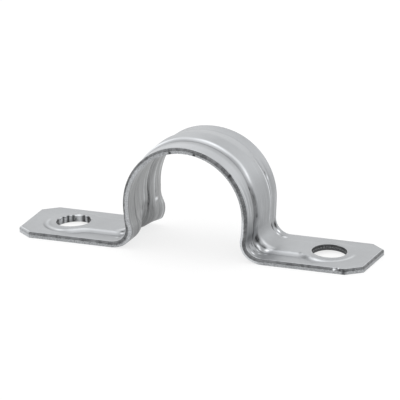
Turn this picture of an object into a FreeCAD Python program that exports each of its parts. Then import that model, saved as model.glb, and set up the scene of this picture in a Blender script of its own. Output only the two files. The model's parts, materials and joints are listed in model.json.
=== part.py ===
import FreeCAD, Part

import math
import os

from FreeCAD import Vector

# Two-hole conduit strap: one stamped piece of zinc-coated steel strip.
# Millimetres, +Z up. Origin: middle of the strap, on the wall plane under both flanges.
# X runs along the strap from hole to hole, Y across the strip, along the conduit.

# ---- driving sizes ------------------------------------------------------------------------
WIDTH = 19.2           # strip width
SHEET = 1.5            # strip thickness
BORE_R = 14.8          # inside of the arch
DRAW = 3.6             # how far the screws pull the flanges down before they reach the wall
HOLE_REACH = 17.2      # from the outside of the arch to the centre of the screw hole
TIP_REACH = 11.5       # from the centre of the screw hole to the tip
LEG_PINCH = 4.0        # degrees each leg leans in below the axis
BEND_R = 3.8           # rounding from leg to flange, upper face
HOLE_R = 4.2           # screw hole
HOLE_ROLL = 0.25       # roll-over round the mouth of the hole
TIP_CLIP_X = 3.75      # clipped corners at the tips, along the strap
TIP_CLIP_Y = 3.0       # and across it
EDGE_ROLL = 0.4        # roll-over of the sheared edges, upper face

RIB_HALF = 5.2         # half the width of the embossed rib, at its foot
RIB_RUN = 1.1          # width of the rib's sloping side
RIB_RISE_ARCH = 0.5    # height of the rib over the arch and legs
RIB_RISE_FLANGE = 0.7  # height of the rib and of the screw pads on the flanges
RIB_BEND_GAIN = 0.7    # added to the bend radius for the rib; it makes the rib deepest there
RIB_ROUND = 1.0        # rounding along the edges of the rib
PAD_LAND = 1.75        # flat ring of the screw pad, outside the mouth of the hole
NECK_R = 4.0           # rounding where the rib runs into the pad

# ---- derived sizes ------------------------------------------------------------------------
OUTER_R = BORE_R + SHEET
AXIS_Z = BORE_R - DRAW
HOLE_X = OUTER_R + HOLE_REACH
LENGTH = 2 * (HOLE_X + TIP_REACH)
CROWN = RIB_HALF - RIB_RUN
RIB_BEND_R = BEND_R + RIB_BEND_GAIN
PAD_R = HOLE_R + HOLE_ROLL + PAD_LAND + RIB_RUN
LEAN = math.radians(LEG_PINCH)
# middle of the neck rounding, where the straight rib ends
NECK_Y = RIB_HALF + NECK_R
NECK_X = HOLE_X - math.sqrt((PAD_R + NECK_R) ** 2 - NECK_Y ** 2)
# where the swept rib hands over to its flat end
JOIN_X = NECK_X - 2.0

# Each face of the strip is (arch radius, flange height, bend radius).
UPPER = (OUTER_R, SHEET, BEND_R)
MIDDLE = (BORE_R + SHEET / 2, SHEET / 2, BEND_R + SHEET / 2)
LOWER = (BORE_R, 0.0, BEND_R + SHEET)
BELOW = (BORE_R - 1.0, -1.0, BEND_R + SHEET + 1.0)
RIB_UPPER = (OUTER_R + RIB_RISE_ARCH, SHEET + RIB_RISE_FLANGE, RIB_BEND_R)
RIB_LOWER = (BORE_R + RIB_RISE_ARCH, RIB_RISE_FLANGE, RIB_BEND_R + SHEET)


def face_edges(face, end_x, y):
    """One face of the strip seen from the side, from the -X end over the arch to the +X end."""
    arch_r, flange_z, bend_r = face
    # unit normal of the +X leg, pointing away from the conduit
    nx = math.cos(LEAN)
    nz = -math.sin(LEAN)
    leg_top = (arch_r * nx, AXIS_Z + arch_r * nz)
    # how far down the leg the bend begins, so that it ends on the flange
    leg = (leg_top[1] + bend_r * nz - flange_z - bend_r) / nx
    leg_foot = (leg_top[0] + leg * nz, leg_top[1] - leg * nx)
    bend_x = leg_foot[0] + bend_r * nx
    bend_z = flange_z + bend_r
    half_turn = math.radians(225) - LEAN / 2
    bend_mid = (bend_x + bend_r * math.cos(half_turn), bend_z + bend_r * math.sin(half_turn))

    def at(point, side):
        return Vector(side * point[0], y, point[1])

    crest = Vector(0, y, AXIS_Z + arch_r)
    bend_end = (bend_x, flange_z)
    tip = (end_x, flange_z)
    return [
        Part.makeLine(at(tip, -1), at(bend_end, -1)),
        Part.Arc(at(bend_end, -1), at(bend_mid, -1), at(leg_foot, -1)).toShape(),
        Part.makeLine(at(leg_foot, -1), at(leg_top, -1)),
        Part.Arc(at(leg_top, -1), crest, at(leg_top, 1)).toShape(),
        Part.makeLine(at(leg_top, 1), at(leg_foot, 1)),
        Part.Arc(at(leg_foot, 1), at(bend_mid, 1), at(bend_end, 1)).toShape(),
        Part.makeLine(at(bend_end, 1), at(tip, 1)),
    ]


def band_wire(upper, lower, end_x, y):
    """The closed side outline between two faces, in the plane Y = y."""
    edges = face_edges(upper, end_x, y)
    edges.extend(face_edges(lower, end_x, y))
    for side in (-1, 1):
        top = Vector(side * end_x, y, upper[1])
        bottom = Vector(side * end_x, y, lower[1])
        edges.append(Part.makeLine(top, bottom))
    return Part.Wire(Part.__sortEdges__(edges))


def end_wire(side, inset, z):
    """Outline of the rib's flat end and the screw pad on one flange, moved in by inset."""
    half = RIB_HALF - inset
    pad = PAD_R - inset
    neck = NECK_R + inset
    # where the neck rounding touches the pad
    away = math.atan2(NECK_Y, NECK_X - HOLE_X)
    touch = (HOLE_X + pad * math.cos(away), pad * math.sin(away))
    # halfway round the neck rounding
    begin = -math.pi / 2
    finish = away - math.pi
    halfway = (begin + finish) / 2
    bend = (NECK_X + neck * math.cos(halfway), NECK_Y + neck * math.sin(halfway))

    def at(x, y):
        return Vector(side * x, y, z)

    far = at(HOLE_X + pad, 0)
    edges = [
        Part.makeLine(at(JOIN_X, -half), at(JOIN_X, half)),
        Part.Arc(at(touch[0], touch[1]), far, at(touch[0], -touch[1])).toShape(),
    ]
    for s in (-1, 1):
        edges.append(Part.makeLine(at(JOIN_X, s * half), at(NECK_X, s * half)))
        arc = Part.Arc(at(NECK_X, s * half), at(bend[0], s * bend[1]), at(touch[0], s * touch[1]))
        edges.append(arc.toShape())
    return Part.Wire(Part.__sortEdges__(edges))


def rib_edges(body, half, z):
    """The edges along the rib at this half width, and on round both pads at this height."""
    found = []
    for edge in body.Edges:
        p = edge.valueAt((edge.FirstParameter + edge.LastParameter) / 2)
        reach = abs(p.x)
        along = abs(abs(p.y) - half) < 0.001 and reach < NECK_X
        on_flange = abs(p.z - z) < 0.001 and NECK_X < reach < HOLE_X + PAD_R + 0.1
        if along or (on_flange and abs(p.y) < PAD_R + 0.1):
            found.append(edge)
    return found


def rib_body(foot, crown, back):
    """Rib and both pads as one solid between two faces, standing on the face called back."""
    stations = [
        band_wire(foot, back, JOIN_X, -RIB_HALF),
        band_wire(crown, back, JOIN_X, -CROWN),
        band_wire(crown, back, JOIN_X, CROWN),
        band_wire(foot, back, JOIN_X, RIB_HALF),
    ]
    body = Part.makeLoft(stations, True, True)
    for side in (-1, 1):
        outline = end_wire(side, 0.0, foot[1])
        top = end_wire(side, RIB_RUN, crown[1])
        root = Part.Face(outline).extrude(Vector(0, 0, back[1] - foot[1]))
        slope = Part.makeLoft([outline, top], True, True)
        body = body.fuse([root, slope])
    body = body.removeSplitter()
    return body.makeFillet(RIB_ROUND, rib_edges(body, CROWN, crown[1]))


def on_upper_face(p):
    """Is this point of the side outline on the upper face of the strip?"""
    dot = Part.Vertex(p)
    for edge in face_edges(UPPER, LENGTH / 2, p.y):
        if edge.distToShape(dot)[0] < 0.001:
            return True
    return False


def strip_body():
    """The plain bent strip with clipped tips and rolled upper edges."""
    half = WIDTH / 2
    side = Part.Face(band_wire(UPPER, LOWER, LENGTH / 2, -half))
    strip = side.extrude(Vector(0, WIDTH, 0))
    for sx in (-1, 1):
        for sy in (-1, 1):
            corner = Vector(sx * LENGTH / 2, sy * half, -1)
            along = corner - Vector(sx * TIP_CLIP_X, 0, 0)
            across = corner - Vector(0, sy * TIP_CLIP_Y, 0)
            clip = Part.Face(Part.makePolygon([corner, along, across, corner]))
            strip = strip.cut(clip.extrude(Vector(0, 0, SHEET + 2)))
    rolled = []
    for edge in strip.Edges:
        p = edge.valueAt((edge.FirstParameter + edge.LastParameter) / 2)
        crosses_strip = edge.BoundBox.YLength > WIDTH - 0.001
        if on_upper_face(p) and not crosses_strip:
            rolled.append(edge)
    return strip.makeChamfer(EDGE_ROLL, rolled)


def rounded_feet(strap):
    """Round the line where the rib and the pads leave the strip, above and underneath."""
    feet = []
    for edge in rib_edges(strap, RIB_HALF, SHEET) + rib_edges(strap, RIB_HALF, 0.0):
        if not any(edge.isSame(other) for other in feet):
            feet.append(edge)
    return strap.makeFillet(RIB_ROUND, feet)


def screw_hole(side):
    """What is taken out for one screw hole, its mouth eased at the top."""
    top = SHEET + RIB_RISE_FLANGE
    mouth = HOLE_R + HOLE_ROLL
    outline = [
        Vector(0, 0, -1),
        Vector(HOLE_R, 0, -1),
        Vector(HOLE_R, 0, top - HOLE_ROLL),
        Vector(mouth, 0, top),
        Vector(mouth, 0, top + 1),
        Vector(0, 0, top + 1),
        Vector(0, 0, -1),
    ]
    tool = Part.Face(Part.makePolygon(outline)).revolve(Vector(0, 0, 0), Vector(0, 0, 1), 360)
    tool.translate(Vector(side * HOLE_X, 0, 0))
    return tool


strip = strip_body()
rib = rib_body(UPPER, RIB_UPPER, MIDDLE)
hollow = rib_body(LOWER, RIB_LOWER, BELOW)
strap = strip.fuse(rib).cut(hollow).removeSplitter().Solids[0]
strap = rounded_feet(strap)
strap = strap.cut([screw_hole(-1), screw_hole(1)]).Solids[0]

os.makedirs("parts", exist_ok=True)
strap.exportStep("parts/strap.step")
grams = strap.Volume * 7.85e-3
box = strap.optimalBoundingBox()
print("strap: %.1f mm3, %.1f g, %d faces, valid %s" % (strap.Volume, grams, len(strap.Faces), strap.isValid()))
print("box %.2f x %.2f x %.2f mm" % (box.XLength, box.YLength, box.ZLength))
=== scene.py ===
import json
import math

import bpy
import numpy as np
from mathutils import Matrix, Vector


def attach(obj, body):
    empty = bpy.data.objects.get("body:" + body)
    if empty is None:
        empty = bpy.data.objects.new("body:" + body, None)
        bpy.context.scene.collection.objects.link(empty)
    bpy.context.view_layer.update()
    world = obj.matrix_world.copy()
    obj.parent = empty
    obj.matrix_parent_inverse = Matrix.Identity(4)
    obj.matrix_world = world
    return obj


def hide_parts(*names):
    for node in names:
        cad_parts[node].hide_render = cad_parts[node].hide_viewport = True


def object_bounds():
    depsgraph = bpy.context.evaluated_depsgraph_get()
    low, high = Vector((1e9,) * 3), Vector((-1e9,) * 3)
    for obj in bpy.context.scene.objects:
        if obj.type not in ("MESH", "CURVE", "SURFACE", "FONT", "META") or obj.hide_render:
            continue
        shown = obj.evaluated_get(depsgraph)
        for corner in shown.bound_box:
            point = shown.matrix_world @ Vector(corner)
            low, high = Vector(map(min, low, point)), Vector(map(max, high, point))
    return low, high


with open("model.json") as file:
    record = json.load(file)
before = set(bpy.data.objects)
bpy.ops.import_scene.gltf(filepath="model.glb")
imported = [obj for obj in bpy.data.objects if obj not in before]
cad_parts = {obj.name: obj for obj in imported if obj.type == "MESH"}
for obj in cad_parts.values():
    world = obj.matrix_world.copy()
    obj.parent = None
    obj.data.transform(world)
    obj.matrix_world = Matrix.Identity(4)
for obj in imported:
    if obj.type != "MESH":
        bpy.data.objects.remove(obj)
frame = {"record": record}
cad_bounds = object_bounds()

# Looks of the two-hole conduit strap. The shape is the CAD strap's, meshed finely enough to carry
# the marks of the press. The strap's sizes are in millimetres and become metres when its mesh is
# made. The floor, the lights and the camera are in metres.

MM = 0.001

# ---- sizes read from the frame ------------------------------------------------------------
mounts = {m["name"]: m for m in frame["record"]["mounts"]}
low, high = cad_bounds
LENGTH = (high.x - low.x) / MM
WIDTH = (high.y - low.y) / MM
BORE_R = mounts["conduit"]["dims"]["r_mm"]
AXIS_Z = mounts["conduit"]["pos_m"][2] / MM
HOLE_X = mounts["screw_holes"]["dims"]["spacing_x_mm"] / 2
HOLE_R = mounts["screw_holes"]["dims"]["hole_r_mm"]

# ---- sizes shared with the part's source --------------------------------------------------
SHEET = 1.5
LEG_PINCH = 4.0
BEND_R = 3.8
HOLE_ROLL = 0.25
TIP_CLIP_X = 3.75
TIP_CLIP_Y = 3.0
RIB_HALF = 5.2
RIB_RUN = 1.1
RIB_RISE_ARCH = 0.5
RIB_RISE_FLANGE = 0.7
RIB_BEND_R = 4.5
PAD_R = 7.3
NECK_R = 4.0

# ---- derived sizes ------------------------------------------------------------------------
HALF = WIDTH / 2
OUTER_R = BORE_R + SHEET
LEAN = math.radians(LEG_PINCH)
NECK_Y = RIB_HALF + NECK_R
NECK_X = HOLE_X - math.sqrt((PAD_R + NECK_R) ** 2 - NECK_Y ** 2)
BEND_LENGTH = BEND_R * (math.pi / 2 + LEAN)

# ---- fineness of the mesh -----------------------------------------------------------------
PATCH_X = 23.0         # where the mesh round the screw hole takes over from the strip's
FINE_FROM = 2.4        # off the middle line, the strip's mesh is finest from here
FINE_TO = 6.4          # to here
FINE_STEPS = (5, 20, 12)   # steps up to, between and beyond those two
RING_R = 8.2           # the mesh round the hole is made of circles out to here
RING_STEPS = 18        # steps from the hole to there
RIM_RINGS = 16         # and from there to the flange's outline
RIM_STEPS = (46, 13, 36, 13, 46)   # steps along the outline's back, clips, tip and front
ROLL_STEPS = 8         # steps over a cut wall's roll-over
WALL_STEPS = 8         # and down the rest of the wall
WELD_DECIMALS = 3      # points that agree to this many decimals become one
SHARP_DEGREES = 50     # edges that turn by more are drawn sharp

# ---- roundings, burrs and tears -----------------------------------------------------------
SOFTEN = 0.30          # reach of the rounding at the foot and crown of the rib's slope
GROOVE = 0.045         # depth of the fine groove along the foot of the rib and the pads
ROLL_IN = 0.5          # how far the roll-over of a sheared edge reaches over the upper face
ROLL_DOWN = 0.55       # and down the cut wall
ROLL_CUT = 0.4         # share of a cut wall's own coordinate that the roll-over takes
BURR = 0.06            # break of the lower edge of a sheared or punched wall
WORN_BURR = 0.25       # burr that the worn punch left under the -X hole
TORN_BACK = 0.035      # how far back the torn part of a cut wall lies
TORN_ROUGH = 0.022     # and how much that varies
WALL_END = 0.985       # share of the wall where its torn part ends and the burr's break begins
NICK_DEPTH = 0.22      # depth of a nick in the front edge
NICK_HALF = 0.3        # half its length, and half its height as a share of the wall
# where the tear begins on a cut wall, as a share of its height
STRIP_TEAR = 0.53
FLANGE_TEAR = 0.50
HOLE_TEAR = 0.62

# ---- how the stamped piece departs from its drawing ---------------------------------------
ARCH_SHIFT = 1.2       # the rib's front slope lies this much further in over the arch
ARCH_SOFT = 2.4        # extra width of the rib's back slope over the arch
LEG_SOFT = 1.3         # and of its front slope down the legs
SOFT_GAIN = 1.8        # and of the pad's slope toward the tip
PAD_FADE = {-1: 0.6, 1: 0.85}   # share of each pad's height that is lost toward the tip
CREST_FLAT = 0.35      # how far the back of the arch's crest was pressed down
RIGHT_PUSH = 0.35      # how far the front band was pushed through in the +X bend
LEFT_PUSH = 0.54       # and on the underside of the -X bend
LEFT_PUSH_ABOVE = 0.4  # share of it that shows on the upper face
BACK_PUSH = 1.35       # how far the back edge was pushed through in the -X bend
LEG_PUSH = 0.5         # and on the -X leg above it
LEFT_RAISE = 0.50      # the rib is raised this much more in the -X bend
LEFT_SHIFT = 2.9       # under that bend, its front slope lies this much further in
LEFT_SOFT = 3.0        # and is this much wider
BACK_SHIFT = 0.7       # the rib's back slope lies this much further in down the -X leg
MARKS_BELOW = 0.4      # share of the die's marks that shows on the lower face
MOVED_ALONG = 0.06     # the most that a mark is moved in the -X bend, as a share of the bend
MOVED_ACROSS = 0.12    # and across the strip
LINE_WANDER = 0.10     # how far a drawn line wanders to each side
SQUEEZE_RIPPLE = 0.035   # ripple of the squeezed skin beside the rib in the bends

# Each face of the strip is (arch radius, flange height, bend radius).
UPPER = (OUTER_R, SHEET, BEND_R)
LOWER = (BORE_R, 0.0, BEND_R + SHEET)
RIB_UPPER = (OUTER_R + RIB_RISE_ARCH, SHEET + RIB_RISE_FLANGE, RIB_BEND_R)
RIB_LOWER = (BORE_R + RIB_RISE_ARCH, RIB_RISE_FLANGE, RIB_BEND_R + SHEET)

# Segments of the side outline from the crest to the +X flange, with their number of steps.
ARCH, LEG, BEND, FLANGE = range(4)
STEPS = {ARCH: 80, LEG: 13, BEND: 36, FLANGE: 9}

# Material slots of the visible mesh.
SKIN, SHEARED, PUNCHED = range(3)


# ---- the strip's surfaces -----------------------------------------------------------------

def soft_rise(x):
    """Zero below 0 and x above it, with the corner rounded over SOFTEN each side."""
    inside = (x + SOFTEN) ** 2 / (4 * SOFTEN)
    return np.where(x <= -SOFTEN, 0.0, np.where(x >= SOFTEN, x, inside))


def smooth(x):
    """0 below 0 and 1 above 1, smooth between."""
    x = np.clip(x, 0, 1)
    return x * x * (3 - 2 * x)


def hump(x, middle, reach):
    """1 at the middle, falling smoothly to about a third at the reach and 0 beyond it."""
    return np.exp(-((x - middle) / reach) ** 2)


def slope_share(inward, run):
    """How far up the rib's slope a point is, from its distance inside the rib's foot."""
    return (soft_rise(inward) - soft_rise(inward - run)) / run


def outline_point(face, segment, share):
    """Point and outward normal of one face of the strip, seen from the side, on the +X half."""
    arch_r, flange_z, bend_r = face
    nx, nz = math.cos(LEAN), -math.sin(LEAN)
    top_x, top_z = arch_r * nx, AXIS_Z + arch_r * nz
    leg = (top_z + bend_r * nz - flange_z - bend_r) / nx
    foot_x, foot_z = top_x + leg * nz, top_z - leg * nx
    centre_x, centre_z = foot_x + bend_r * nx, flange_z + bend_r
    one = np.ones_like(share)
    if segment == ARCH:
        angle = math.pi / 2 - share * (math.pi / 2 + LEAN)
        return arch_r * np.cos(angle), AXIS_Z + arch_r * np.sin(angle), np.cos(angle), np.sin(angle)
    if segment == LEG:
        return top_x + share * (foot_x - top_x), top_z + share * (foot_z - top_z), nx * one, nz * one
    if segment == BEND:
        angle = math.pi - LEAN + share * (math.pi / 2 + LEAN)
        dx, dz = np.cos(angle), np.sin(angle)
        return centre_x + bend_r * dx, centre_z + bend_r * dz, -dx, -dz
    return centre_x + share * (PATCH_X - centre_x), flange_z * one, 0 * one, one


def half_stations():
    """(segment, share) for every station from the crest to the patch, each place once."""
    found = [(ARCH, 0.0)]
    for segment in (ARCH, LEG, BEND, FLANGE):
        steps = STEPS[segment]
        found += [(segment, (i + 1) / steps) for i in range(steps)]
    return found


def half_outline(face):
    """Rows of x, z, normal x, normal z down the +X half."""
    return np.array([outline_point(face, g, np.float64(t)) for g, t in STATIONS], float)


STATIONS = half_stations()
PLACE = np.array([g + t for g, t in STATIONS])


def whole(rows):
    """The +X half and its mirror image, from the -X patch over the arch to the +X patch."""
    mirrored = rows[:0:-1] * np.array([-1, 1, -1, 1])
    return np.vstack([mirrored, rows])


def along_strip():
    """Developed length from the crest, signed, at every station of the whole strip."""
    middle = whole((half_outline(UPPER) + half_outline(LOWER)) / 2)
    steps = np.hypot(*np.diff(middle[:, :2], axis=0).T)
    length = np.concatenate([[0.0], np.cumsum(steps)])
    return length - length[len(length) // 2]


ALONG = along_strip()
WHOLE_PLACE = np.concatenate([-PLACE[:0:-1], PLACE])
FLAT_END = ALONG[-1]   # developed length where the mesh round the screw hole takes over


def across_nodes(inset):
    """Places across the strip, closest together over the rib's slopes."""
    inner, fine, outer = FINE_STEPS
    half = np.concatenate([
        np.linspace(0.0, FINE_FROM, inner + 1)[:-1],
        np.linspace(FINE_FROM, FINE_TO, fine + 1)[:-1],
        np.linspace(FINE_TO, HALF - inset, outer + 1),
    ])
    return np.concatenate([-half[:0:-1], half])


def wave(x, y, seed):
    """Smooth irregular ripple between about -1 and 1: three sines of unrelated pitch."""
    a = np.sin(1.31 * x + 0.77 * y + 2.1 * seed)
    b = np.sin(-0.83 * x + 1.93 * y + 5.3 * seed + 1.4 * a)
    c = np.sin(2.57 * x - 1.11 * y + 3.7 * seed + 0.9 * b)
    return (a + b + c) / 3


# Marks of the bending die on the upper face, beside the rib in each bend: (share of the bend from
# the leg to the flange, distance from the middle of the strip, half length along the strip, half
# width across it, depth, shade). Shade -1 is painted shade in a pinched pocket and 1 a painted
# highlight on burnished metal; the last front row, with no depth, is a painted reflection along the
# rib's crown in the bend.
FRONT_MARKS = (
    (0.25, 4.55, 0.75, 0.68, 0.16, -0.90),
    (0.34, 4.05, 0.50, 0.55, 0.08, -0.42),
    (0.45, 4.50, 0.90, 0.22, 0.08, -0.65),
    (-0.08, 5.25, 1.30, 0.26, 0.12, -0.7),
    (-0.70, 5.20, 2.20, 0.30, 0.06, -0.45),
    (0.66, 4.35, 0.70, 0.24, 0.10, -0.9),
    (0.50, 4.95, 0.60, 0.15, -0.03, 1.2),
    (0.62, 5.25, 0.45, 0.12, -0.02, 0.9),
    (0.82, 4.70, 0.45, 0.17, -0.03, 1.2),
    (0.42, 5.40, 0.50, 0.15, 0.08, -0.9),
    (0.28, 6.25, 0.60, 0.16, 0.10, -0.9),
    (0.32, 7.70, 0.60, 0.18, 0.10, -0.8),
    (0.56, 8.30, 0.45, 0.22, -0.05, 1.2),
    (0.60, 6.00, 0.55, 0.16, -0.03, 0.7),
    (0.52, 7.10, 0.45, 0.16, 0.06, -0.7),
    (0.72, 6.80, 0.35, 0.20, -0.03, 0.8),
    (0.88, 5.60, 0.60, 0.16, 0.05, -0.5),
    (0.80, 7.60, 0.35, 0.25, 0.04, -0.4),
    (0.98, 6.20, 0.50, 0.30, -0.03, 0.5),
    (0.66, 3.30, 2.00, 0.75, 0.00, 0.42),
)
REAR_MARKS = (
    (0.25, 6.10, 0.85, 0.42, 0.14, -1.25),
    (0.27, 8.10, 0.90, 0.55, 0.14, -1.3),
    (0.60, 5.30, 0.90, 0.18, -0.04, 0.8),
    (0.61, 6.50, 0.50, 0.20, -0.03, 0.9),
    (0.54, 7.75, 0.55, 0.30, -0.05, 1.2),
    (0.75, 7.10, 0.40, 0.16, 0.05, -0.6),
    (0.92, 6.70, 0.60, 0.40, -0.03, 0.6),
)

# Lines along the strip: (place across it, half width, shade). The first are on the upper face, the
# second on the lower one. Most are lines that the die drew; on the upper face the dark line at -4.45
# is painted shade on the rib's front slope down the legs and the bright one at 3.9 a painted
# highlight on its back shoulder, and on the lower face the dark line at 3.70 is painted shade along
# the back slope of the hollow.
LEG_LINES = (
    (-8.6, 0.30, 0.32), (-7.7, 0.18, -0.22), (-7.1, 0.22, 0.34), (-6.4, 0.16, -0.25),
    (-5.9, 0.16, 0.20), (-4.45, 0.90, -0.42), (-3.3, 0.30, 0.24), (-1.6, 0.16, 0.22),
    (-0.4, 0.20, -0.20), (1.3, 0.14, 0.22), (2.6, 0.22, -0.22), (3.9, 0.26, 0.80),
    (4.9, 0.30, -0.34), (6.0, 0.16, 0.36), (6.9, 0.30, -0.30), (8.3, 0.30, 0.30),
)
INNER_LINES = (
    (-9.2, 0.14, -0.50), (-8.4, 0.30, 0.22), (-7.2, 0.20, -0.26), (-5.6, 0.45, -0.30),
    (-4.2, 0.22, 0.22), (-2.6, 0.14, -0.18), (-1.2, 0.24, 0.26), (0.5, 0.18, -0.20),
    (1.4, 0.30, 0.40), (2.3, 0.16, 0.20), (3.0, 0.18, 0.46), (3.70, 0.34, -0.72),
    (5.1, 0.60, -0.26), (6.3, 0.20, 0.44), (7.5, 0.18, -0.26), (8.7, 0.40, 0.32),
)

# Scuffs on each face: (place along the strip, place across it, half length, half width, shade).
# Places and half lengths along the strip are in segments, counted from the crest. The two wide soft
# dark ones at 0.80 and 1.00 on the upper face are painted shade on the rib's front slope where the
# arch meets the +X leg.
UPPER_SCUFFS = (
    (0.70, 5.5, 0.020, 0.22, -0.8),
    (0.75, 5.9, 0.018, 0.20, 0.7),
    (0.72, -5.0, 0.018, 0.20, -1.0),
    (1.00, -4.0, 0.030, 0.16, -0.7),
    (0.38, 0.6, 0.010, 0.10, -0.6),
    (0.55, 2.9, 0.012, 0.10, -0.5),
    (0.84, -6.9, 0.020, 0.14, -0.5),
    (0.80, -4.5, 0.100, 0.90, -0.25),
    (1.00, -3.9, 0.120, 0.90, -0.15),
    (-0.35, 1.8, 0.015, 0.14, -0.5),
    (-1.40, -2.0, 0.060, 0.16, 0.5),
)
LOWER_SCUFFS = (
    (-2.12, -0.6, 0.12, 0.40, 0.8),
    (-1.70, -1.6, 0.10, 0.14, -0.6),
    (-1.58, 7.0, 0.08, 0.75, 0.8),
    (-1.15, 6.8, 0.10, 0.30, -0.4),
    (1.30, 2.0, 0.12, 0.25, 0.6),
    (0.40, -3.0, 0.02, 0.20, -0.6),
)


def press_marks(place, y):
    """Height and shade of the bending die's marks at places along and across the strip."""
    share = np.abs(place) - BEND
    side = np.sign(place)
    height = np.zeros(np.broadcast(place, y).shape)
    shade = np.zeros_like(height)
    for marks, front in ((FRONT_MARKS, -1), (REAR_MARKS, 1)):
        for middle, from_middle, half_length, half_width, depth, tone in marks:
            # the -X bend has the same marks, each a little moved
            moved = MOVED_ALONG * math.sin(9 * from_middle)
            moved = middle + np.where(side < 0, moved, 0.0)
            aside = MOVED_ACROSS * math.cos(7 * from_middle)
            aside = from_middle + np.where(side < 0, aside, 0.0)
            mark = hump(share * BEND_LENGTH, moved * BEND_LENGTH, half_length)
            mark = mark * hump(front * y, aside, half_width)
            height = height - depth * mark
            shade = shade + tone * mark
    squeezed = hump(share, 0.45, 0.5) * hump(np.abs(y), 7.0, 2.2)
    height = height + SQUEEZE_RIPPLE * squeezed * wave(22 * share, 2.1 * y, 1.7 * side)
    return height, shade


def drawn_and_painted_lines(place, along, y, lines, deepest):
    """Shade of the lines along the strip, the die's drawn lines and the painted shade and highlights
    among them, which wander a little and come and go along the strip.
    """
    reach = np.abs(place)
    shade = np.zeros(np.broadcast(place, y).shape)
    for i, (middle, half_width, tone) in enumerate(lines):
        line = hump(y, middle + LINE_WANDER * np.sin(0.35 * along + 1.7 * i), half_width)
        strength = 0.75 + 0.35 * np.sin(0.41 * along + 2.3 * i)
        shade = shade + tone * line * strength
    return shade * smooth((reach - 0.40) / 0.35) * smooth((deepest - reach) / 0.6)


def scuffed(place, y, scuffs):
    """Shade of the small scuffs."""
    shade = np.zeros(np.broadcast(place, y).shape)
    for middle, across, half_length, half_width, tone in scuffs:
        shade = shade + tone * hump(place, middle, half_length) * hump(y, across, half_width)
    return shade


def under_left_bend(place, upper):
    """1 in the middle of the -X bend's lower face, falling smoothly to 0; 0 on the upper face."""
    if upper:
        return 0.0
    return np.where(place < 0, hump(np.abs(place) - BEND, 0.45, 0.45), 0.0)


def inside_strip_rib(place, y, upper):
    """Distance inside the rib's foot, between the two patches."""
    reach = np.abs(place)
    front = ARCH_SHIFT * smooth((0.95 - reach) / 0.5)
    front = front + LEFT_SHIFT * under_left_bend(place, upper)
    down_leg = smooth((reach - 0.55) / 0.5) * smooth((BEND + 1 - reach) / 0.4)
    back = np.where(place < 0, BACK_SHIFT * down_leg, 0.0)
    return RIB_HALF - np.where(y < 0, front, back) - np.abs(y)


def strip_run(place, y, upper):
    """Width of the rib's slope: drawn out at the back over the arch and at the front lower down."""
    reach = np.abs(place)
    back = ARCH_SOFT * smooth((0.85 - reach) / 0.6)
    front = LEG_SOFT * smooth((reach - 0.50) / 0.3) * smooth((1.9 - reach) / 0.7)
    front = front + LEFT_SOFT * under_left_bend(place, upper)
    return RIB_RUN + np.where(y > 0, back, front)


def bulge(place, y, upper):
    """How far the strip was pushed toward its underside: at the crest and by the bends."""
    share = np.abs(place) - BEND
    crest = CREST_FLAT * smooth((y - 1) / 7) * hump(place, 0, 0.3)
    # the +X bend: only its front band
    right = RIGHT_PUSH * hump(share, 0.30, 0.42) * smooth((0.5 - RIB_HALF - y) / 2.5)
    # the -X bend: its front band, its back edge with the leg above it, and the rib, which rose
    push = LEFT_PUSH * (LEFT_PUSH_ABOVE if upper else 1.0)
    front = push * hump(share, 0.28, 0.43) * smooth((-y - 0.5) / 4)
    back = BACK_PUSH * hump(share, 0.36, np.where(share < 0.36, 0.75, 0.2))
    back = back + LEG_PUSH * hump(np.abs(place), 0.85, 0.45)
    back = back * np.clip((y - 4) / (HALF - 4), 0, 1) ** 1.3
    rib = LEFT_RAISE * hump(share, 0.10, 0.45) * smooth((y + 1) / 2.5) * smooth((5.4 - y) / 1.5)
    left = front + back - rib
    return crest + np.where(place < 0, left, right) * smooth((1 - share) / 0.4)


def strip_point(y, upper):
    """Points of one face of the strip for an array of y, at every station: stations x y x 3."""
    foot = whole(half_outline(UPPER if upper else LOWER))
    crown = whole(half_outline(RIB_UPPER if upper else RIB_LOWER))
    place, y = WHOLE_PLACE[:, None], y[None, :]
    inward = inside_strip_rib(place, y, upper)
    share = slope_share(inward, strip_run(place, y, upper))
    xz = foot[:, None, :] + share[:, :, None] * (crown - foot)[:, None, :]
    lift = press_marks(place, y)[0] * (1.0 if upper else MARKS_BELOW)
    lift = lift + foot_groove(inward, upper) - bulge(place, y, upper)
    x = xz[:, :, 0] + lift * xz[:, :, 2]
    z = np.maximum(xz[:, :, 1] + lift * xz[:, :, 3], 0.0)
    return np.stack([x, np.broadcast_to(y, x.shape), z], axis=2)


# ---- the flange round a screw hole --------------------------------------------------------

def inside_rib(x, y):
    """Distance inside the foot of the rib and its pad, on the +X flange."""
    y = np.abs(y)
    from_hole = np.hypot(x - HOLE_X, y)
    from_neck = np.hypot(x - NECK_X, y - NECK_Y)
    pad = PAD_R - from_hole
    neck = from_neck - NECK_R
    straight = RIB_HALF - y
    past_line = (NECK_X - HOLE_X) * y - NECK_Y * (x - HOLE_X) < 0
    return np.where(x <= NECK_X, straight, np.where(past_line, pad, neck))


def foot_groove(inward, upper):
    """Height of the fine groove that the die's edge leaves on the upper face, along the foot."""
    return (-GROOVE if upper else 0.0) * hump(inward, -0.22, 0.2)


def tipward(x):
    """0 on the side of the pad where the rib comes in, 1 on the side toward the tip."""
    return smooth((x - HOLE_X + 0.5 * PAD_R) / (1.3 * PAD_R))


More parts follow.
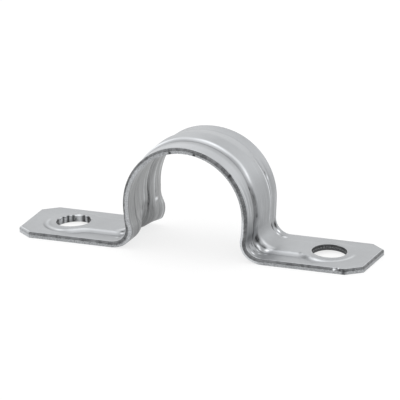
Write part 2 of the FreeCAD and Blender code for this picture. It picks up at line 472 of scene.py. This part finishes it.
def pad_shade(side, x, y):
    """Painted shade along the pad's foot and on part of its slope, and a painted highlight on its
    slope.
    """
    turned = np.degrees(np.arctan2(y, x - HOLE_X))
    from_hole = np.hypot(x - HOLE_X, y)
    if side < 0:
        dark = hump(from_hole, PAD_R - 0.05, 0.26) * hump(turned, -50, 28)
        dark = dark + 0.55 * hump(from_hole, PAD_R - 1.1, 0.9) * hump(turned, -30, 32)
        bright = hump(from_hole, PAD_R - 0.75, 0.30) * hump(turned, -80, 13)
        return 0.55 * bright - 0.50 * dark
    dark = hump(from_hole, PAD_R - 0.1, 0.45) * hump(turned, -146, 5)
    bright = hump(from_hole, PAD_R - 0.70, 0.30) * hump(turned, -92, 22)
    return 0.40 * bright - 0.45 * dark


def flange_point(side, x, y, upper):
    """Points of one face of the flange on one side, for places on the +X flange."""
    inward = inside_rib(x, y)
    run = RIB_RUN + SOFT_GAIN * tipward(x)
    rise = RIB_RISE_FLANGE * (1 - PAD_FADE[side] * tipward(x))
    z = (SHEET if upper else 0.0) + rise * slope_share(inward, run)
    z = z + foot_groove(inward, upper) * (1 - tipward(x)) * smooth(0.5 - y / PAD_R)
    return np.stack([side * x, y, z], axis=-1)


def flange_outline(inset):
    """Closed loop round the flange, from the patch line's back corner, moved in by inset."""
    tip = LENGTH / 2
    clip = math.hypot(TIP_CLIP_X, TIP_CLIP_Y)
    cx, cy = TIP_CLIP_Y / clip, TIP_CLIP_X / clip
    reach = cx * tip + cy * (HALF - TIP_CLIP_Y) - inset
    side_x = (reach - cy * (HALF - inset)) / cx
    tip_y = (reach - cx * (tip - inset)) / cy
    back = [(PATCH_X, HALF - inset), (side_x, HALF - inset), (tip - inset, tip_y)]
    corners = back + [(x, -y) for x, y in back[::-1]]
    loop = []
    for (x0, y0), (x1, y1), steps in zip(corners[:-1], corners[1:], RIM_STEPS):
        t = np.arange(steps) / steps
        loop.append(np.stack([x0 + t * (x1 - x0), y0 + t * (y1 - y0)], axis=1))
    nodes = across_nodes(inset)[:-1]
    loop.append(np.stack([np.full_like(nodes, PATCH_X), nodes], axis=1))
    return np.vstack(loop)


RIM = flange_outline(0.0)
SHEARED_RIM = sum(RIM_STEPS)
RIM_ANGLE = np.arctan2(RIM[:, 1], RIM[:, 0] - HOLE_X)
TURN = np.stack([np.cos(RIM_ANGLE), np.sin(RIM_ANGLE)], axis=1)


def flange_rings(mouth_r, inset):
    """x, y of the mesh round the hole: rings x points round, from the hole to the outline."""
    centre = np.array([HOLE_X, 0.0])
    rings = [centre + r * TURN for r in np.linspace(mouth_r, RING_R, RING_STEPS + 1)]
    outline = flange_outline(inset)
    last = rings[-1]
    for t in np.linspace(0, 1, RIM_RINGS + 1)[1:]:
        rings.append(last + t * (outline - last))
    return np.array(rings)


# ---- the mesh -----------------------------------------------------------------------------

class Sheet:
    """Collects grids of points with their attributes and faces."""

    def __init__(self):
        self.points = []
        self.strip = []
        self.press = []
        self.faces = []
        self.slots = []
        self.count = 0

    def grid(self, points, strip, press, slot, flip=False, closed=False):
        """Adds a rows x columns grid; strip and press hold three numbers for each point."""
        rows, columns = points.shape[:2]
        index = self.count + np.arange(rows * columns).reshape(rows, columns)
        if closed:
            index = np.hstack([index, index[:, :1]])
        a, b, c, d = index[:-1, :-1], index[:-1, 1:], index[1:, 1:], index[1:, :-1]
        order = (d, c, b, a) if flip else (a, b, c, d)
        quads = np.stack(order, axis=-1).reshape(-1, 4)
        self.points.append(points.reshape(-1, 3))
        self.strip.append(strip.reshape(-1, 3))
        self.press.append(press.reshape(-1, 3))
        self.faces.append(quads)
        self.slots.append(np.full(len(quads), slot))
        self.count += rows * columns


# Where the worn punch scored the far wall of the -X hole: (degrees round it, reach, shade).
WORN_BARS = (
    (2, 7, -0.7), (20, 5, 0.45), (30, 4, -0.7), (38, 4, 0.45), (48, 5, -0.8), (59, 5, 0.30),
    (66, 3, -0.5), (88, 10, 0.60), (103, 4, -0.7), (112, 3, 0.5), (126, 8, -0.7),
)
# Where the shear nicked the front edge: (developed length from the crest, share of the wall).
NICKS = ((-3.7, 0.85), (2.9, 0.85), (13.2, 0.25))


def sheared_wall(top_inset, top_edge, low_edge, low_inset, roll, along, nicked=False):
    """Rows of points down a cut wall, and each row's share of the way down it.

    The top edge is rolled over, the upper part is smooth, and the lower part is torn back.
    """
    roll_in, roll_down = roll
    down = low_edge - top_edge
    thick = np.linalg.norm(down, axis=1, keepdims=True)
    inward = (top_inset - top_edge) / roll_in
    rows = []
    cut = []
    for i in range(ROLL_STEPS + 1):
        turn = math.pi / 2 * i / ROLL_STEPS
        back = inward * roll_in * (1 - math.sin(turn))
        rows.append(top_edge + back + down / thick * roll_down * (1 - math.cos(turn)))
        cut.append(ROLL_CUT * i / ROLL_STEPS)
    rows[0] = top_inset
    start = roll_down / SHEET
    for i in range(1, WALL_STEPS + 1):
        share = start + (WALL_END - start) * i / WALL_STEPS
        torn = np.clip((i / WALL_STEPS - 0.4) * 5, 0, 1)
        ragged = wave(2.3 * along, 9.0 * share, 0.4) + 0.6 * wave(7.1 * along, 4.0 * share, 1.9)
        cut_back = torn * (TORN_BACK + TORN_ROUGH * ragged)
        for place, depth in NICKS if nicked else ():
            nick = hump(along, place, NICK_HALF) * hump(share, depth, NICK_HALF)
            cut_back = cut_back + NICK_DEPTH * nick
        rows.append(top_edge + down * share + inward * cut_back[:, None])
        cut.append(ROLL_CUT + (1 - ROLL_CUT) * i / WALL_STEPS)
    rows.append(low_inset)
    cut.append(1.0)
    return np.array(rows), np.array(cut)


def edge_shade(along, cut):
    """Dark and bright places of the front edge: its nicks, its rough +X corner and its legs."""
    shade = np.zeros(np.broadcast(along, cut).shape)
    for place, depth in NICKS:
        shade = shade - 0.9 * hump(along, place, 0.40) * hump(cut, depth, 0.35)
    # the corner where the +X tip is clipped: dark, with torn spots and a bright one before it
    corner = FLAT_END + LENGTH / 2 - TIP_CLIP_X - PATCH_X
    shade = shade - 0.75 * hump(along, corner - 0.3, 0.5) * smooth(cut * 2)
    torn = wave(5.3 * along, 8.0 * cut, 0.7) * hump(along, corner - 1.5, 1.0)
    shade = shade - 1.3 * torn * smooth(1.7 - 2 * cut)
    shade = shade + 0.9 * hump(along, corner - 2.7, 0.4) * hump(cut, 0.4, 0.2)
    # the torn part is brighter down the legs
    left = smooth((-along - 9) / 6) * smooth((along + 38) / 5) * smooth((cut - 0.40) / 0.15)
    right = smooth((along - 23) / 3) * smooth((38 - along) / 3) * smooth((cut - 0.62) / 0.08)
    return shade + 0.20 * left + 0.55 * right


def tear_start(place):
    """How far down the front or back edge the smeared band reaches, as a share of the wall."""
    in_bend = hump(np.abs(place), 2.55, 0.5)
    on_left = np.where(place < 0, 1.0, 0.0) * hump(np.abs(place), 1.4, 0.9)
    past_crest = smooth((place - 0.11) / 0.03) * smooth((1.1 - place) / 0.3)
    return STRIP_TEAR + 0.13 * in_bend - 0.19 * on_left + 0.17 * past_crest


def tagged(points, *values):
    """Three numbers for every point of a grid."""
    shape = points.shape[:2]
    return np.stack([np.broadcast_to(np.asarray(v, float), shape) for v in values], axis=-1)


def add_strip(sheet):
    """The strip from patch to patch: upper face, lower face and both sheared edges."""
    faces = {}
    place = WHOLE_PLACE[:, None]
    for upper, inset in ((True, ROLL_IN), (False, BURR)):
        nodes = across_nodes(inset)
        points = strip_point(nodes, upper)
        strip = tagged(points, ALONG[:, None], nodes[None, :], -1.0 if upper else -2.0)
        lines, deepest = (LEG_LINES, 2.4) if upper else (INNER_LINES, 3.0)
        shade = drawn_and_painted_lines(place, ALONG[:, None], nodes[None, :], lines, deepest)
        shade = shade + scuffed(place, nodes[None, :], UPPER_SCUFFS if upper else LOWER_SCUFFS)
        # on the upper face the die's marks add painted shade in their pockets and painted highlights
        if upper:
            shade = shade + press_marks(place, nodes[None, :])[1]
        press = tagged(points, inside_strip_rib(place, nodes[None, :], upper), shade, place)
        sheet.grid(points, strip, press, SKIN, flip=upper)
        faces[upper] = points
    for side, column in ((-1, 0), (1, -1)):
        edge = np.array([side * HALF])
        top_edge = strip_point(edge, True)[:, 0]
        low_edge = strip_point(edge, False)[:, 0]
        rows, cut = sheared_wall(
            faces[True][:, column], top_edge, low_edge, faces[False][:, column],
            (ROLL_IN, ROLL_DOWN), ALONG, nicked=side < 0)
        strip = tagged(rows, ALONG[None, :], side * HALF, cut[:, None])
        shade = edge_shade(ALONG[None, :], cut[:, None]) if side < 0 else 0.0
        press = tagged(rows, tear_start(WHOLE_PLACE)[None, :], shade, WHOLE_PLACE[None, :])
        sheet.grid(rows, strip, press, SHEARED, flip=side > 0)


def add_flange(sheet, side):
    """One flange from the patch line to the tip, with its sheared edge and screw hole."""
    end_place = side * WHOLE_PLACE[-1]
    kept = {}
    faces = ((True, HOLE_R + HOLE_ROLL, ROLL_IN), (False, HOLE_R + BURR, BURR))
    for upper, radius, inset in faces:
        xy = flange_rings(radius, inset)
        points = flange_point(side, xy[..., 0], xy[..., 1], upper)
        along = side * (FLAT_END + xy[..., 0] - PATCH_X)
        strip = tagged(points, along, xy[..., 1], -1.0 if upper else -2.0)
        shade = pad_shade(side, xy[..., 0], xy[..., 1]) if upper else 0.0
        press = tagged(points, inside_rib(xy[..., 0], xy[..., 1]), shade, end_place)
        if not upper and side < 0:
            from_hole = np.hypot(xy[..., 0] - HOLE_X, xy[..., 1])
            points[..., 2] -= WORN_BURR * hump(from_hole, HOLE_R, 0.35)
        sheet.grid(points, strip, press, SKIN, flip=(side > 0) != upper, closed=True)
        kept[upper] = points
    count = SHEARED_RIM + 1
    top_edge = flange_point(side, RIM[:count, 0], RIM[:count, 1], True)
    low_edge = flange_point(side, RIM[:count, 0], RIM[:count, 1], False)
    walk = np.concatenate([[0.0], np.cumsum(np.hypot(*np.diff(RIM[:count], axis=0).T))])
    # the run of the tear pattern starts where the strip's ends, on both edges
    front = RIM[:count, 1] < 0
    walk = np.where(front, walk[::-1], walk) + FLAT_END
    rows, cut = sheared_wall(
        kept[True][-1, :count], top_edge, low_edge, kept[False][-1, :count],
        (ROLL_IN, ROLL_DOWN), side * walk)
    strip = tagged(rows, (side * walk)[None, :], RIM[None, :count, 1], cut[:, None])
    shade = np.where(front[None, :], edge_shade((side * walk)[None, :], cut[:, None]), 0.0)
    if side < 0:
        # the cut of the front corner, where the tip is clipped, is lighter
        clipped = smooth((RIM[:count, 0] - LENGTH / 2 + TIP_CLIP_X + 0.3) / 0.5)
        clipped = clipped * smooth((TIP_CLIP_Y + 0.4 - HALF - RIM[:count, 1]) / 0.6)
        shade = shade + 0.38 * clipped[None, :]
    press = tagged(rows, FLANGE_TEAR, shade, end_place)
    sheet.grid(rows, strip, press, SHEARED, flip=side < 0)
    ring = HOLE_R * TURN
    top = np.stack([side * (HOLE_X + ring[:, 0]), ring[:, 1], kept[True][0, :, 2]], 1)
    low = np.stack([top[:, 0], top[:, 1], kept[False][0, :, 2]], 1)
    turned = HOLE_R * RIM_ANGLE
    rows, cut = sheared_wall(
        kept[True][0], top, low, kept[False][0], (HOLE_ROLL, HOLE_ROLL), turned)
    strip = tagged(rows, turned[None, :], side, cut[:, None])
    # a painted highlight at the top of the far wall, more so in the -X hole
    degrees = np.degrees(RIM_ANGLE)
    caught = hump(degrees, 78, 14)[None, :] * hump(cut, 0.28, 0.16)[:, None]
    shade = (0.6 if side < 0 else 0.2) * caught
    if side < 0:
        for turn, reach, tone in WORN_BARS:
            shade = shade + tone * hump(degrees, turn, reach)[None, :]
    press = tagged(rows, HOLE_TEAR, shade, end_place)
    sheet.grid(rows, strip, press, PUNCHED, flip=side > 0, closed=True)


def strap_mesh():
    """The whole visible mesh, welded, in metres."""
    sheet = Sheet()
    add_strip(sheet)
    for side in (-1, 1):
        add_flange(sheet, side)
    points = np.vstack(sheet.points)
    tags = {"strip": np.vstack(sheet.strip), "press": np.vstack(sheet.press)}
    quads = np.vstack(sheet.faces)
    slots = np.concatenate(sheet.slots)
    # weld the points that coincide
    rounded = np.round(points, WELD_DECIMALS)
    _, first, back = np.unique(rounded, axis=0, return_index=True, return_inverse=True)
    quads = back.reshape(-1)[quads]
    mesh = bpy.data.meshes.new("strap_surface")
    mesh.from_pydata((points[first] * MM).tolist(), [], quads.tolist())
    mesh.polygons.foreach_set("material_index", slots.astype(np.int32))
    mesh.polygons.foreach_set("use_smooth", np.ones(len(quads), bool))
    for name, values in tags.items():
        layer = mesh.attributes.new(name, "FLOAT_VECTOR", "POINT")
        layer.data.foreach_set("vector", values[first].astype(np.float32).reshape(-1))
    mesh.validate()
    mesh.update()
    mesh.set_sharp_from_angle(angle=math.radians(SHARP_DEGREES))
    return mesh


# ---- materials ----------------------------------------------------------------------------

# Levels of grey. Each pair is the darkest and the lightest that a pattern reaches.
PLAIN_ZINC = (0.29, 0.35)
DRAWN_ZINC = (0.26, 0.41)
WORN_WALL = (0.08, 0.42)
PALER_OVER_ARCH = 0.62
SHOULDER_HIGHLIGHT = 0.76
FOOT_SHADOW = 0.13
BRIGHT_MARK, DARK_MARK = 0.90, 0.035
BRIGHT_NICK, DARK_NICK = 0.85, 0.03
LIP_HIGHLIGHT, ROLLED_EDGE, TEAR_LINE = 0.50, 0.32, 0.35
# the zinc inside the strap, a little warmer
LINING = ((0.203, 0.206, 0.207, 1.0), (0.402, 0.408, 0.411, 1.0))

ROUGHNESS = (0.38, 0.50)
WALL_ROUGHNESS = (0.34, 0.50)

# Fineness of the patterns: per metre, or per millimetre along and across the strip.
CLOUD_SCALE, MOTTLE_SCALE, GRAIN_SCALE = 60.0, 260.0, 2600.0
STREAK_SCALE = (0.10, 4.0, 0.0)
SCRATCH_SCALE = (0.9, 5.0, 0.0)
# Depths of the finest relief, in metres.
CLOUD_DEPTH, MOTTLE_DEPTH, GRAIN_DEPTH = 0.00025, 0.00003, 0.00001
STREAK_DEPTH = 0.00002
COLUMN_DEPTH, FINE_DEPTH = 0.00006, 0.00003

# The floor's colour where it lights the strap and where the camera sees it, and the glow that
# the camera sees and that the metal mirrors.
FLOOR_COLOR = (0.6, 0.6, 0.6, 1.0)
FLOOR_COLOR_SEEN = (0.3, 0.3, 0.3, 1.0)
FLOOR_GLOW_SEEN, FLOOR_GLOW_MIRRORED = 0.75, 0.50


class Nodes:
    """Short forms for building a material's nodes."""

    def __init__(self, name):
        self.material = bpy.data.materials.new(name)
        self.material.use_nodes = True
        self.tree = self.material.node_tree
        self.tree.nodes.clear()
        self.output = self.tree.nodes.new("ShaderNodeOutputMaterial")

    def add(self, kind, inputs=None, **settings):
        """A new node with its settings, and its inputs either linked or set."""
        node = self.tree.nodes.new(kind)
        for key, value in settings.items():
            setattr(node, key, value)
        for key, value in (inputs or {}).items():
            if isinstance(value, bpy.types.NodeSocket):
                self.tree.links.new(value, node.inputs[key])
            else:
                node.inputs[key].default_value = value
        return node

    def math(self, operation, a, b=0.0):
        return self.add("ShaderNodeMath", {0: a, 1: b}, operation=operation).outputs[0]

    def times(self, a, b):
        return self.math("MULTIPLY", a, b)

    def noise(self, vector, scale, detail, rough):
        inputs = {"Vector": vector, "Scale": scale, "Detail": detail, "Roughness": rough}
        return self.add("ShaderNodeTexNoise", inputs).outputs["Fac"]

    def stretched(self, vector, scale):
        node = self.add("ShaderNodeVectorMath", {0: vector, 1: scale}, operation="MULTIPLY")
        return node.outputs[0]

    def ramp(self, value, low, high, out_low=0.0, out_high=1.0):
        """Linear map from low..high to out_low..out_high, held at the ends."""
        inputs = {"Value": value, "From Min": low, "From Max": high}
        inputs.update({"To Min": out_low, "To Max": out_high})
        return self.add("ShaderNodeMapRange", inputs).outputs[0]

    def blend(self, share, a, b):
        """Colour a where the share is 0 and colour b where it is 1."""
        node = self.add("ShaderNodeMix", {0: share}, data_type="RGBA")
        for socket, value in ((node.inputs[6], a), (node.inputs[7], b)):
            if isinstance(value, bpy.types.NodeSocket):
                self.tree.links.new(value, socket)
            else:
                socket.default_value = value
        return node.outputs[2]

    def bump(self, height, distance, strength, normal=None):
        inputs = {"Height": height, "Distance": distance, "Strength": strength}
        if normal is not None:
            inputs["Normal"] = normal
        return self.add("ShaderNodeBump", inputs).outputs[0]

    def hump(self, value, middle, reach):
        """1 at the middle value, falling smoothly to about a third at the reach and 0 beyond."""
        off = self.math("DIVIDE", self.math("SUBTRACT", value, middle), reach)
        return self.math("POWER", math.e, self.times(self.times(off, off), -1.0))

    def mesh_values(self, name):
        """One of the mesh's own attributes, as a vector and as its three numbers."""
        node = self.add("ShaderNodeAttribute", attribute_name=name, attribute_type="GEOMETRY")
        parts = self.add("ShaderNodeSeparateXYZ", {0: node.outputs["Vector"]})
        return (node.outputs["Vector"], *parts.outputs)

    def metal(self, color, roughness, normal):
        """Ends the material in a metal of this colour, roughness and relief."""
        inputs = {"Base Color": color, "Roughness": roughness, "Normal": normal, "Metallic": 1.0}
        shader = self.add("ShaderNodeBsdfPrincipled", inputs)
        self.tree.links.new(shader.outputs[0], self.output.inputs[0])
        return self.material


def grey(value):
    """The zinc's faintly cool grey."""
    return (value * 0.975, value, value * 1.03, 1.0)


def greys(pair):
    """Both greys of a pair."""
    return [grey(value) for value in pair]


# What the mesh's attributes hold. "strip" has the developed length from the crest, the place
# across the strip, and -1 on the upper face, -2 on the lower one or 0 to 1 down a cut wall. On a
# hole's wall the first two are the length round the hole and which flange it is in. "press" has
# the distance inside the rib's foot, or on a cut wall where its tear begins; the shade; and the
# place along the strip in segments from the crest.

def zinc_skin():
    """Dull zinc over rolled steel, with the die's marks and with painted highlights and painted
    shade on the rib, the pads and the bends.
    """
    n = Nodes("zinc_skin")
    strip, _, across, face = n.mesh_values("strip")
    _, inward, shade, strip_place = n.mesh_values("press")
    place = n.add("ShaderNodeTexCoord").outputs["Object"]
    grain = n.noise(place, GRAIN_SCALE, 3.0, 0.6)
    mottle = n.noise(place, MOTTLE_SCALE, 4.0, 0.6)
    cloud = n.noise(place, CLOUD_SCALE, 3.0, 0.5)
    streak = n.noise(n.stretched(strip, STREAK_SCALE), 1.0, 4.0, 0.65)
    tone = n.math("ADD", n.times(mottle, 0.6), n.times(cloud, 0.4))
    color = n.blend(n.ramp(tone, 0.34, 0.66), *greys(PLAIN_ZINC))
    # the arch and legs were drawn through the die: streaks along the strip
    reach = n.math("ABSOLUTE", strip_place)
    drawn = n.times(n.ramp(reach, 0.5, 1.0), n.ramp(reach, 2.5, 2.0))
    streaked = n.blend(n.ramp(streak, 0.33, 0.67), *greys(DRAWN_ZINC))
    color = n.blend(n.times(drawn, 0.8), color, streaked)
    # paler over the arch, most toward its crest
    color = n.blend(n.ramp(reach, 1.1, 0.5, 0.0, 0.13), color, grey(PALER_OVER_ARCH))
    # inside the strap: more streaked
    under = n.ramp(face, -1.4, -1.6)
    lining = n.blend(n.ramp(streak, 0.34, 0.66), *LINING)
    color = n.blend(n.times(under, 0.85), color, lining)
    # painted highlight along the rib's front shoulder over the arch and, less, on the flanges
    front = n.ramp(across, 1.0, -1.0)
    shoulder = n.times(n.hump(inward, RIB_RUN * 0.85, 0.40), front)
    over_arch = n.times(n.ramp(reach, 0.72, 0.60), n.ramp(reach, 0.0, 0.35, 0.55, 1.0))
    on_flange = n.ramp(reach, 2.4, 2.9, 0.0, 0.4)
    shoulder = n.times(shoulder, n.math("MAXIMUM", over_arch, on_flange))
    color = n.blend(n.times(shoulder, 0.75), color, grey(SHOULDER_HIGHLIGHT))
    # the front band is paler over the arch too
    band = n.times(n.ramp(across, -5.5, -6.5), n.ramp(reach, 0.75, 0.45, 0.0, 0.26))
    color = n.blend(band, color, grey(PALER_OVER_ARCH))
    # a painted shadow line along the rib's front foot
    foot = n.times(n.hump(inward, -0.30, 0.34), front)
    foot = n.times(foot, n.ramp(reach, 3.6, 2.8))
    color = n.blend(n.times(foot, 0.42), color, grey(FOOT_SHADOW))
    # the bright and dark places of the shade attribute, with the painted highlights and painted
    # shade among them, are scratched, not even
    scratch = n.noise(n.stretched(strip, SCRATCH_SCALE), 1.0, 4.0, 0.7)
    uneven = n.times(shade, n.ramp(scratch, 0.35, 0.65, 0.6, 1.35))
    bright = n.ramp(uneven, 0.06, 0.95)
    dark = n.ramp(uneven, -0.06, -0.95)
    color = n.blend(bright, color, grey(BRIGHT_MARK))
    color = n.blend(dark, color, grey(DARK_MARK))
    rough = n.ramp(n.math("ADD", mottle, n.times(streak, 0.5)), 0.4, 1.1, *ROUGHNESS)
    rough = n.math("SUBTRACT", rough, n.times(shoulder, 0.08))
    rough = n.math("SUBTRACT", rough, n.times(bright, 0.10))
    normal = n.bump(cloud, CLOUD_DEPTH, 0.35)
    normal = n.bump(mottle, MOTTLE_DEPTH, 0.5, normal)
    normal = n.bump(streak, STREAK_DEPTH, 0.5, normal)
    normal = n.bump(grain, GRAIN_DEPTH, 0.6, normal)
    return n.metal(color, rough, normal)


def cut_steel(name, dark, light, column_scale, punched):
    """A cut wall: rolled lip with a painted highlight, smeared dark upper part, torn brighter lower
    part.

    dark and light are the greys of the last two, and column_scale sets how fine the ragged
    line between them is.
    """
    n = Nodes(name)
    strip, _, across, cut = n.mesh_values("strip")
    _, tear, shade, _ = n.mesh_values("press")
    columns = n.noise(n.stretched(strip, (column_scale, 0.7, 0.8)), 1.0, 3.0, 0.6)
    fine = n.noise(n.stretched(strip, (5.0, 0.7, 7.0)), 1.0, 3.0, 0.6)
    ragged = n.math("ADD", cut, n.ramp(columns, 0.3, 0.7, -0.05, 0.05))
    past_tear = n.math("SUBTRACT", ragged, tear)
    torn = n.ramp(past_tear, -0.07, 0.09)
    smeared = n.blend(n.ramp(columns, 0.35, 0.65), grey(dark * 0.7), grey(dark * 1.3))
    smeared = n.blend(n.ramp(fine, 0.52, 0.70, 0.0, 0.5), smeared, grey(light * 0.8))
    broken = n.blend(n.ramp(fine, 0.32, 0.68), grey(light * 0.5), grey(light * 1.3))
    color = n.blend(torn, smeared, broken)
    if punched:
        # a line of brighter metal where the punch's smeared band ends
        line = n.times(n.hump(past_tear, 0.0, 0.06), n.ramp(fine, 0.45, 0.6))
        color = n.blend(n.times(line, 0.7), color, grey(TEAR_LINE))
        # one hole was punched with a worn tool: bright and dark lines down its whole wall
        scored = n.noise(n.stretched(strip, (0.8, 0.7, 0.9)), 1.0, 3.0, 0.6)
        thin = n.noise(n.stretched(strip, (3.4, 0.7, 0.8)), 1.0, 2.0, 0.6)
        mixed = n.math("ADD", n.times(scored, 0.7), n.times(thin, 0.3))
        lines = n.blend(n.ramp(mixed, 0.43, 0.59), *greys(WORN_WALL))
        color = n.blend(n.ramp(across, 0.5, -0.5), color, lines)
    # a painted highlight along the rolled lip
    lip = n.hump(cut, 0.07, 0.05)
    color = n.blend(lip, color, grey(LIP_HIGHLIGHT))
    color = n.blend(n.ramp(cut, 0.0, 0.06), grey(ROLLED_EDGE), color)
    color = n.blend(n.ramp(shade, 0.1, 1.0), color, grey(BRIGHT_NICK))
    color = n.blend(n.ramp(shade, -0.1, -0.8), color, grey(DARK_NICK))
    rough = n.ramp(torn, 0.0, 1.0, *WALL_ROUGHNESS)
    normal = n.bump(columns, COLUMN_DEPTH, 0.6)
    normal = n.bump(fine, FINE_DEPTH, 0.6, normal)
    return n.metal(color, rough, normal)


def floor_material():
    """A pale floor, which the camera sees nearly white, with a faint shadow."""
    n = Nodes("pale_floor")
    path = n.add("ShaderNodeLightPath")
    camera, glossy = path.outputs["Is Camera Ray"], path.outputs["Is Glossy Ray"]
    tone = n.blend(camera, FLOOR_COLOR, FLOOR_COLOR_SEEN)
    diffuse = n.add("ShaderNodeBsdfDiffuse", {"Color": tone})
    own = n.math("ADD", n.times(camera, FLOOR_GLOW_SEEN), n.times(glossy, FLOOR_GLOW_MIRRORED))
    glow = n.add("ShaderNodeEmission", {"Color": (1, 1, 1, 1), "Strength": own})
    both = n.add("ShaderNodeAddShader", {0: diffuse.outputs[0], 1: glow.outputs[0]})
    n.tree.links.new(both.outputs[0], n.output.inputs[0])
    return n.material


# ---- stage, light and camera --------------------------------------------------------------

FLOOR_HALF = 3.0
FLOOR_Z = -0.00002     # just below the flanges

MIDDLE = (0, 0, 0.012)             # what every light points at
TOP_PLACE = (-0.05, 0.05, 0.55)
TOP_SIZE, TOP_WATTS = (0.5, 0.5), 0.9
SIDE_BOXES = 8
SIDE_REACH, SIDE_Z = 0.56, 0.21    # how far out and how high the side boxes stand
SIDE_SIZE, SIDE_WATTS = (0.45, 0.3), 0.27
WORLD_LIGHT = 0.55     # strength with which the white surroundings light the strap
WORLD_SEEN = 1.0       # and with which the camera and the metal see them

# The camera's angles in degrees. It looks past the strap's origin at a point that lies
# AIM_RIGHT and AIM_UP from it in the view.
AZIMUTH, ELEVATION, ROLL = 23.20, 19.51, 1.52
AIM_RIGHT, AIM_UP = -0.00026, 0.01049
DISTANCE = 2.4169
FOCAL_MM, SENSOR_MM = 900.0, 36.0


def make_floor():
    """A plain square floor under the strap."""
    half = FLOOR_HALF
    mesh = bpy.data.meshes.new("floor")
    corners = [(-half, -half), (half, -half), (half, half), (-half, half)]
    mesh.from_pydata([(x, y, FLOOR_Z) for x, y in corners], [], [(0, 1, 2, 3)])
    floor = bpy.data.objects.new("floor", mesh)
    bpy.context.scene.collection.objects.link(floor)
    mesh.materials.append(floor_material())


def area_light(name, place, size, watts):
    """A soft box that points at the middle of the strap."""
    data = bpy.data.lights.new(name, "AREA")
    data.shape = "RECTANGLE"
    data.size, data.size_y = size
    data.energy = watts
    lamp = bpy.data.objects.new(name, data)
    bpy.context.scene.collection.objects.link(lamp)
    lamp.location = place
    lamp.visible_camera = False
    lamp.rotation_euler = (Vector(MIDDLE) - Vector(place)).to_track_quat("-Z", "Y").to_euler()


def light_world():
    """White surroundings that give less light than they show."""
    world = bpy.data.worlds.new("studio")
    world.use_nodes = True
    bpy.context.scene.world = world
    tree = world.node_tree
    tree.nodes.clear()
    out = tree.nodes.new("ShaderNodeOutputWorld")
    path = tree.nodes.new("ShaderNodeLightPath")
    seen = tree.nodes.new("ShaderNodeMath")
    seen.operation = "MAXIMUM"
    tree.links.new(path.outputs["Is Camera Ray"], seen.inputs[0])
    tree.links.new(path.outputs["Is Glossy Ray"], seen.inputs[1])
    level = tree.nodes.new("ShaderNodeMapRange")
    level.inputs["To Min"].default_value = WORLD_LIGHT
    level.inputs["To Max"].default_value = WORLD_SEEN
    tree.links.new(seen.outputs[0], level.inputs["Value"])
    back = tree.nodes.new("ShaderNodeBackground")
    back.inputs["Color"].default_value = (1, 1, 1, 1)
    tree.links.new(level.outputs[0], back.inputs["Strength"])
    tree.links.new(back.outputs[0], out.inputs[0])


def light_scene():
    """A soft top light and a ring of low soft boxes, alike from every side."""
    light_world()
    area_light("top", TOP_PLACE, TOP_SIZE, TOP_WATTS)
    for i in range(SIDE_BOXES):
        turn = 2 * math.pi * (i + 0.25) / SIDE_BOXES
        place = (SIDE_REACH * math.cos(turn), SIDE_REACH * math.sin(turn), SIDE_Z)
        area_light("side_%d" % i, place, SIDE_SIZE, SIDE_WATTS)


def make_camera():
    """A camera far off with a long lens, so that the strap is seen nearly without perspective."""
    a, e, r = (math.radians(v) for v in (AZIMUTH, ELEVATION, ROLL))
    right = Vector((math.cos(a), math.sin(a), 0))
    back = Vector((math.sin(a) * math.cos(e), -math.cos(a) * math.cos(e), math.sin(e)))
    up = back.cross(right)
    turned_right = math.cos(r) * right - math.sin(r) * up
    turned_up = math.sin(r) * right + math.cos(r) * up
    data = bpy.data.cameras.new("camera")
    data.sensor_width = SENSOR_MM
    data.lens = FOCAL_MM
    data.clip_start, data.clip_end = 0.05, 50.0
    camera = bpy.data.objects.new("camera", data)
    bpy.context.scene.collection.objects.link(camera)
    place = AIM_RIGHT * turned_right + AIM_UP * turned_up + DISTANCE * back
    turn = Matrix((turned_right, turned_up, back)).transposed()
    camera.matrix_world = Matrix.Translation(place) @ turn.to_4x4()
    bpy.context.scene.camera = camera


# ---- the piece ----------------------------------------------------------------------------

surface = bpy.data.objects.new("strap_surface", strap_mesh())
bpy.context.scene.collection.objects.link(surface)
# in the order of SKIN, SHEARED and PUNCHED
surface.data.materials.append(zinc_skin())
sheared = cut_steel("sheared_edge", dark=0.13, light=0.40, column_scale=0.9, punched=False)
# the punched wall's greys are darker than the sheared edge's: painted shade inside the holes
punched = cut_steel("punched_wall", dark=0.07, light=0.11, column_scale=1.3, punched=True)
surface.data.materials.append(sheared)
surface.data.materials.append(punched)
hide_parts("strap")
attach(surface, "root")

make_floor()
light_scene()
make_camera()

scene = bpy.context.scene
scene.view_settings.view_transform = "Standard"
